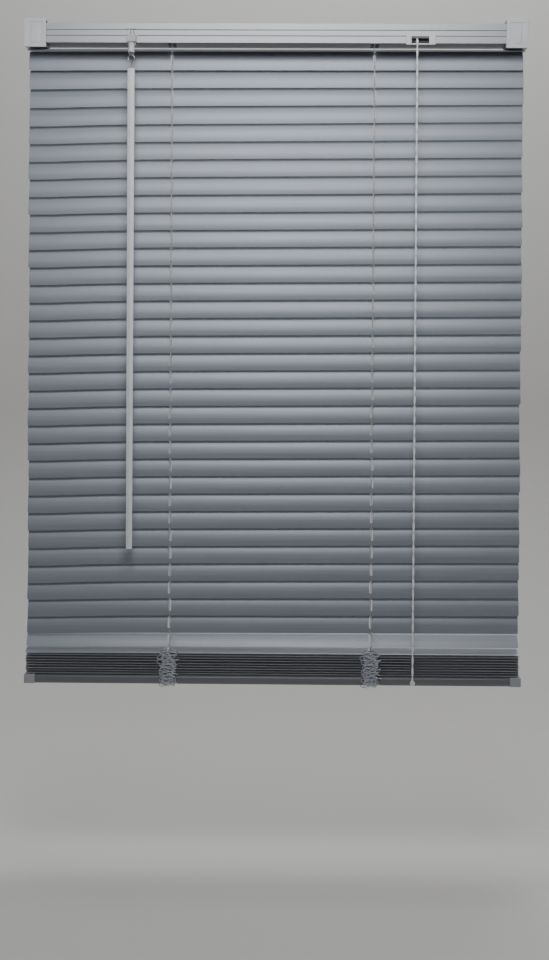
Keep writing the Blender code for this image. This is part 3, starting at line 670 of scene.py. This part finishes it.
SHARP = math.radians(35)
LOCK_FACE, GROOVE_FRONT = -13.0 * MM, -11.4 * MM
# Parts whose chosen faces take a darker material as painted shade.
PAINTED_SHADE_PARTS = {
    "headrail": (GROOVE_SHADE, groove_shade_faces),
    # The lock's faces behind its front take the near-black material: painted shade in its hollow.
    "cord_lock": (DARK_PLASTIC_AND_SHADE, lambda face: face.center.y > LOCK_FACE),
}
HARD_PARTS = [
    ("headrail", RAIL_ENAMEL, "frame", 0.2 * MM),
    ("bracket_left", OFF_WHITE, "frame", 0.35 * MM),
    ("bracket_right", OFF_WHITE, "frame", 0.35 * MM),
    ("bracket_cover_left", OFF_WHITE, "bracket_cover_left", 0.3 * MM),
    ("bracket_cover_right", OFF_WHITE, "bracket_cover_right", 0.3 * MM),
    ("cord_lock", OFF_WHITE, "frame", 0.3 * MM),
    ("cord_lock_roller", ROLLER_GREY, "cord_lock_roller", 0.1 * MM),
    ("tilter_housing", MILKY, "frame", 0.25 * MM),
    ("tilter_stem", OFF_WHITE, "tilter_stem", 0.1 * MM),
    ("tilter_gear", OFF_WHITE, "tilt_rod", 0.1 * MM),
    ("ladder_drum_left", OFF_WHITE, "tilt_rod", 0.15 * MM),
    ("ladder_drum_right", OFF_WHITE, "tilt_rod", 0.15 * MM),
    ("cradle_left", OFF_WHITE, "frame", 0.2 * MM),
    ("cradle_right", OFF_WHITE, "frame", 0.2 * MM),
    ("tilt_rod", WIRE, "tilt_rod", 0.2 * MM),
    ("wand_hook", WIRE, "wand_hook", 0.0),
    ("wand", CLEAR, "wand", 0.35 * MM),
    # The bottom rail takes the darker copy of the rail enamel: painted shade.
    ("bottom_rail", BOTTOM_RAIL_SHADE, "bottom_rail", 0.4 * MM),
]
for node_name, material, body, width in HARD_PARTS:
    turned = node_name.startswith(("tilter_stem", "ladder_drum", "cord_lock_roller", "wand_hook"))
    softened(node_name, material, body, width, turned)
print("softened parts:", len(HARD_PARTS))

# %% [markdown]
# ## Ladders
#
# Each ladder has a front and a rear string. They hang beside the slats' edges and move up and down as the drums
# turn, so they ride on their own bodies. The slats slope a little about level axes, so they swing sideways as they
# turn, and the strings stand off far enough to let them. Below the last hanging slat the strings are slack: there a
# second run of string follows the pile.

# %% Ladder strings
STRING_RADIUS = 0.35 * MM
rail_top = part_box("bottom_rail")[1].z
STRING_BOTTOM = {"front": -742 * MM, "rear": -722 * MM}
STRING_SPARE, SPARE_REACH = 25 * MM, 10.6 * MM
OUTWARDS = {"front": -1, "rear": 1}
PACKED_Y = {"front": -1.96 * MM, "rear": 5.73 * MM}
STAND_OFF, STAND_OFF_TOP, STAND_OFF_RUN = 1.6 * MM, -36 * MM, 5 * MM
STRING_Y = {face: PACKED_Y[face] + OUTWARDS[face] * STAND_OFF for face in PACKED_Y}


def hanging_string(side, face):
    """A nearly straight run beside the slats, with a slight wander. Through the top slat's slot it keeps the
    drum's line, and below that it eases out by STAND_OFF, clear of the turning slats."""
    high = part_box(f"ladder_{face}_{side}")[1]
    outwards = OUTWARDS[face]
    bottom = STRING_BOTTOM[face]
    bend = np.linspace(STAND_OFF_TOP, STAND_OFF_TOP - STAND_OFF_RUN, 7)
    z = np.unique(np.round(np.concatenate([np.linspace(high.z, bottom, 150), bend]), 6))[::-1]
    out = np.clip((STAND_OFF_TOP - z) / STAND_OFF_RUN, 0, 1)
    y = PACKED_Y[face] + outwards * STAND_OFF * out**2 * (3 - 2 * out)
    sway = 0.12 * MM * (1 + np.sin(z / 0.0068))
    x = LADDER_X[side] + 0.15 * MM * np.sin(z / 0.011)
    hang = np.stack([x, y + outwards * sway * 0.5, z], 1)
    spare_z = np.linspace(bottom, bottom - STRING_SPARE, 14)[1:]
    drop = (bottom - spare_z) / STRING_SPARE
    reach = STRING_Y[face] + outwards * (SPARE_REACH - STAND_OFF) * drop
    spare = np.stack([x[-1] + 1.2 * MM * np.sin(3 * drop), reach, spare_z], 1)
    return np.vstack([hang, spare])


for face in ("front", "rear"):
    for side in ("left", "right"):
        made = tubes(
            f"ladder_{face}_{side}_string", [hanging_string(side, face)], STRING_RADIUS, 7, STRING,
            f"{face}_strings",
        )
        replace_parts(made, f"ladder_{face}_{side}")
print("ladder strings: 4")

# %% [markdown]
# Two thin rungs cross under every slat, one each side of the slot, from the front string to the rear one.
# They turn with their slat. Each dips under the slat's two edges and runs straight between them.

# %% Ladder rungs
RUNG_RADIUS = 0.25 * MM
RUNG_ROUTE = np.array([
    (0.0, -13.9, -0.05), (1.6, -13.5, -1.6), (2.6, -11.5, -2.85), (2.6, 0.0, -2.95),
    (2.6, 11.5, -3.0), (1.6, 13.1, -3.8), (0.0, 13.4, -4.0),
]) * MM


def rung(side, z, slope, mirror):
    """The route in the slat's own axes, on one side of the slot, turned to the closed tilt."""
    route = smooth_path(RUNG_ROUTE * (mirror, 1, 1), 22)
    turn = math.radians(CLOSED_TILT)
    x = LADDER_X[side] + route[:, 0]
    y = route[:, 1] * math.cos(turn) - route[:, 2] * math.sin(turn)
    height = route[:, 1] * math.sin(turn) + route[:, 2] * math.cos(turn)
    return np.stack([x, y, z + height + math.tan(slope) * (x - SLAT_MIDDLE_X)], 1)


for number, name in enumerate(SLAT_NAMES):
    slope = hang_slope(number)
    paths = [rung(side, slat_axis_z(name), slope, mirror) for side in LADDER_X for mirror in (-1, 1)]
    made = tubes(f"{name}_rungs", paths, RUNG_RADIUS, 5, STRING, name, side=(1.0, 0.0, 0.0))
print("rungs:", 4 * len(SLAT_NAMES))

# %% [markdown]
# ## Slack ladder at the pile
#
# Drawing the blind up leaves the lowest part of each ladder slack, and it bunches in front of the gathered slats
# and behind them. We draw each bunch as several strings on looping lines, with more string than there really is:
# they zigzag downwards while a slower wave carries them out from the pile and back. The inner loops have a darker
# finish, which is painted shade in there. The outer loops and the tails have a lighter copy of the string's colour
# than the hanging strings: painted light.

# %% Bunched string
def bunch(x, stand_off, turns, phase, top, bottom, reach):
    """x swings on a sine whose reach changes, with a smaller, quicker curl on top; z falls while it curls;
    y stands off the pile by a changing distance."""
    u = np.linspace(0, 1, int(40 * turns))
    swing, curl = 2 * np.pi * turns * u + phase, 2 * np.pi * 2.7 * turns * u + 2.3 * phase
    across = x + reach * (0.8 + 0.2 * np.sin(5.1 * u + phase)) * np.sin(swing) + 1.5 * MM * np.cos(curl)
    fall = top + (bottom - top) * u + 1.5 * MM * np.sin(curl) + 0.8 * MM * np.sin(2 * swing)
    off = stand_off + 0.7 * MM * np.sin(0.73 * swing + 1.3 * phase)
    return np.stack([across, off, fall], 1)


BUNCH_RADIUS, SLACK_FIXED_Z, TAIL_OVERLAP = 0.30 * MM, -0.740, 1 * MM
LADDER_PHASE = {"left": 0.0, "right": 0.9}
STACK_TOP, STACK_BOTTOM = -764 * MM, rail_top - 11.5 * MM
OUTER_RUNS = [
    (-0.6, 8.5, 0.4, 12.0, -15.7), (0.8, 6.3, 2.6, 11.2, -15.2),
    (0.2, 7.1, 4.4, 10.4, -16.2), (0.0, 7.9, 5.6, 8.0, -15.0),
]
INNER_RUNS = [
    (0.4, 11.7, 1.7, 11.4, -14.2), (-0.3, 9.2, 5.3, 10.4, -13.8),
    (0.0, 10.1, 3.3, 9.4, -14.4), (0.0, 7.5, 1.2, 8.0, 14.6),
]


def runs(x, phase_start, table):
    """One bunched path for each (offset, turns, phase, reach, stand-off), each starting a little lower."""
    return [
        bunch(
            x + offset * MM, off * MM, turns, phase + phase_start, STACK_TOP - 1.2 * MM * k, STACK_BOTTOM,
            reach * MM,
        )
        for k, (offset, turns, phase, reach, off) in enumerate(table)
    ]


for side, x in LADDER_X.items():
    inner = tubes(
        f"ladder_slack_{side}_inner", runs(x, LADDER_PHASE[side], INNER_RUNS), BUNCH_RADIUS, 6, SHADED_STRING,
        side=(0.2, 1.0, 0.3),
    )
    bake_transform(inner)
    paths = runs(x, LADDER_PHASE[side], OUTER_RUNS)
    # The outer loops take the lighter copy of the string: painted light.
    made = tubes(f"ladder_slack_{side}", paths, BUNCH_RADIUS, 6, LIT_SLACK_STRING, side=(0.2, 1.0, 0.3))
    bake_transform(made)
    tails = []
    for face, outwards in OUTWARDS.items():
        y, start = STRING_Y[face], STRING_BOTTOM[face] + TAIL_OVERLAP
        tails.append(smooth_path([
            (x, y, start), (x + 3.0 * MM, y + outwards * 4.0 * MM, start - 0.003),
            (x + 6.6 * MM, outwards * 10.5 * MM, start - 0.008),
            (x - 0.5 * MM, outwards * 13.6 * MM, start - 0.015),
            (x - 6.8 * MM, outwards * 14.6 * MM, STACK_TOP - 0.002),
        ], 40))
    made = tubes(f"ladder_tail_{side}", tails, STRING_RADIUS, 7, LIT_SLACK_STRING, side=(1.0, 0.3, 0.0))
    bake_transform(made)
print("slack bunches: 2")

# %% [markdown]
# ## Lift cords
#
# One cord at each ladder runs from inside the bottom rail, where its knot would sit, up through every slot, and
# along the headrail to the lock.

# %% Lift cords
CORD_RADIUS, CORD_RUN_Z, CORD_FIXED_Z = 0.6 * MM, -24.8 * MM, -0.700
lock_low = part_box("cord_lock")[0]


def lift_route(x, run_y, end):
    """Up the slots, round the drum's cradle, and along the headrail's floor."""
    rail_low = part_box("bottom_rail")[0].z
    return smooth_path([
        (x, 0.0, rail_low + 3 * MM), (x, 0.0, -0.7), (x, 0.0, -0.35), (x, 0.0, -0.06),
        (x, 0.0, CORD_RUN_Z - 4 * MM),
        (x + 1.2 * MM, 0.0, CORD_RUN_Z - 1.2 * MM), (x + 4 * MM, 0.0, CORD_RUN_Z), (x + 9 * MM, 0.0, CORD_RUN_Z),
        (x + 18 * MM, run_y, CORD_RUN_Z), (x + 28 * MM, run_y, CORD_RUN_Z),
        (lock_low.x - 2 * MM, run_y, CORD_RUN_Z), end,
    ], 420)


LOCK_ENDS = {"left": (3.0 * MM, (0.459, 1.5 * MM, CORD_RUN_Z)), "right": (0.0, (0.459, -1.2 * MM, CORD_RUN_Z))}
for side, (run_y, end) in LOCK_ENDS.items():
    route = lift_route(LADDER_X[side], run_y, end)
    made = tubes(f"lift_cord_{side}_braid", [route], CORD_RADIUS, 8, CORD)
    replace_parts(made, f"lift_cord_{side}")
    x = LADDER_X[side]
    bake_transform(made)
print("lift cords: 2")

# %% [markdown]
# ## Rail ends and plugs
#
# The hollow bottom rail is closed by a moulded cap at each end. Under each ladder a round plug pins the string
# and hides the lift cord's knot. The caps are rounded blocks: a rectangle with round corners that shrinks towards
# the end.

# %% End caps and plugs
rail_low, rail_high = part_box("bottom_rail")


def rounded_box(half_y, half_z, radius, steps=5):
    """A rectangle whose corners are quarter circles: corner centre + radius (cos a, sin a)."""
    a = np.linspace(0, np.pi / 2, steps)
    signs = ((1, 1, 0), (-1, 1, 1), (-1, -1, 2), (1, -1, 3))
    corners = [
        np.stack([
            sy * (half_y - radius) + radius * np.cos(a + quarter * np.pi / 2),
            sz * (half_z - radius) + radius * np.sin(a + quarter * np.pi / 2),
        ], 1)
        for sy, sz, quarter in signs
    ]
    return np.concatenate(corners)


CAP_REACH, CAP_PROUD = 11.0, 0.45
CAP_RINGS = ((-CAP_REACH, 0.35), (-CAP_REACH + 0.3, 0.0), (1.6, 0.0), (2.0, 0.15), (2.2, 0.6), (2.25, 3.5))


def end_cap(name, x, outwards):
    """Rings of a rounded box: over the rail's last stretch, then closing in to a rounded end face."""
    centre_y, centre_z = (rail_low.y + rail_high.y) / 2, (rail_low.z + rail_high.z) / 2
    half_y = (rail_high.y - rail_low.y) / 2 + CAP_PROUD * MM
    half_z = (rail_high.z - rail_low.z) / 2 + CAP_PROUD * MM
    rings = []
    for step, shrink in CAP_RINGS:
        section = rounded_box(half_y - shrink * MM, half_z - shrink * MM, 1.2 * MM)
        along = np.full((len(section), 1), x + outwards * step * MM)
        rings.append(np.hstack([along, section + (centre_y, centre_z)]))
    made = piece(name, np.concatenate(rings), ring_faces(len(rings), len(rings[0])), CAP_GREY, "bottom_rail")


def turned_piece(name, centre, profile, material, body, sides=28):
    """Rings about a vertical line: each (radius, height) of the profile in turn."""
    a = np.linspace(0, 2 * np.pi, sides, endpoint=False)
    rings = [
        np.stack([centre[0] + r * np.cos(a), centre[1] + r * np.sin(a), np.full(sides, centre[2] + h)], 1)
        for r, h in profile
    ]
    made = piece(name, np.concatenate(rings), ring_faces(len(rings), sides), material, body)
    return made


end_cap("rail_cap_left", rail_low.x, -1)
end_cap("rail_cap_right", rail_high.x, 1)
PLUG = [(3.4, 1.0), (3.4, -0.05), (5.2, -0.1), (5.2, -0.6), (4.8, -1.1), (3.9, -1.4), (1.4, -1.5)]
for side, x in LADDER_X.items():
    turned_piece(
        f"cord_plug_{side}", (x, 0.0, rail_low.z), [(r * MM, h * MM) for r, h in PLUG], DARK_PLASTIC_AND_SHADE, "bottom_rail",
    )
print("caps: 2, plugs: 2")

# %% [markdown]
# ## Wand pin
#
# A short pin through the wand holds the hook's shank. It shows as a small dark round end on the wand's side.

# %% Wand pin
wand_low, wand_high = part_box("wand")
wand_x, wand_y = (wand_low.x + wand_high.x) / 2, (wand_low.y + wand_high.y) / 2
PIN_HALF, PIN_Z = 4.2 * MM, -83.6 * MM
pin_line = np.linspace((wand_x - PIN_HALF, wand_y, PIN_Z), (wand_x + PIN_HALF, wand_y, PIN_Z), 5)
wand_pin = tubes("wand_pin", [pin_line], 0.9 * MM, 14, DARK_PLASTIC_AND_SHADE, "wand")
print("wand pin at", round(wand_x, 4))

# %% [markdown]
# ## Floor and light
#
# A grey sheet curves up from the floor behind the blind, so no horizon shows. From behind it can't be seen. The
# main light is a broad panel high in front: the slats below it get steadily less, as they would under a ceiling
# light. A weak fill stands further off, and two lights behind the blind reach the sheet and the blind's back.

# %% Stage
def one_sided_paper():
    """Matt paper from the front, and nothing at all from behind, so that the stage never hides the blind."""
    pale = bpy.data.materials.new("pale_paper")
    pale.use_nodes = True
    tree = pale.node_tree
    paper = tree.nodes["Principled BSDF"]
    paper.inputs["Base Color"].default_value = (0.62, 0.61, 0.60, 1)
    paper.inputs["Roughness"].default_value = 0.9
    side = node(tree, "NewGeometry")
    clear = node(tree, "BsdfTransparent")
    mixed = node(
        tree, "MixShader", [(0, side.outputs["Backfacing"]), (1, paper.outputs["BSDF"]), (2, clear.outputs["BSDF"])]
    )
    tree.links.new(mixed.outputs[0], tree.nodes["Material Output"].inputs["Surface"])
    return pale


def make_stage():
    """A flat floor, a quarter circle and a wall: the profile in Y and Z, carried along X."""
    floor_z, wall_y, bend = -1.03, 1.5, 0.6
    a = np.linspace(0, np.pi / 2, 16)
    y = np.concatenate([[-4.0], wall_y - bend + bend * np.sin(a), [wall_y]])
    z = np.concatenate([[floor_z], floor_z + bend - bend * np.cos(a), [3.0]])
    x = np.array([-4.0, 4.5])
    points = np.stack([np.repeat(x, len(y)), np.tile(y, 2), np.tile(z, 2)], 1)
    index = np.arange(len(y) - 1)
    faces = np.stack([index, index + len(y), index + 1 + len(y), index + 1], 1).tolist()
    mesh = bpy.data.meshes.new("backdrop")
    mesh.from_pydata(points.tolist(), [], faces)
    mesh.shade_smooth()
    mesh.materials.append(one_sided_paper())
    made = bpy.data.objects.new("backdrop", mesh)
    bpy.context.scene.collection.objects.link(made)


def area_light(name, place, target, size, power):
    data = bpy.data.lights.new(name, "AREA")
    data.shape, data.size, data.energy = "DISK", size, power
    made = bpy.data.objects.new(name, data)
    made.location = place
    made.rotation_euler = (Vector(target) - Vector(place)).to_track_quat("-Z", "Y").to_euler()
    bpy.context.scene.collection.objects.link(made)


make_stage()
area_light("high_front", (0.30, -0.78, 0.30), (0.30, 0.0, -0.08), 0.7, 8.0)
area_light("front_fill", (-0.6, -2.6, 0.2), (0.29, 0.0, -0.1), 1.6, 2.2)
area_light("behind", (0.4, 0.5, 1.6), (0.3, 1.3, -0.5), 1.6, 30.0)
area_light("back_rim", (0.7, 1.2, 1.6), (0.29, 0.0, -0.4), 0.8, 14.0)
sky = bpy.data.worlds.new("soft_room")
sky.use_nodes = True
sky.node_tree.nodes["Background"].inputs["Color"].default_value = (0.92, 0.95, 1.0, 1)
sky.node_tree.nodes["Background"].inputs["Strength"].default_value = 0.06
bpy.context.scene.world = sky
print("lights:", len(bpy.data.lights))
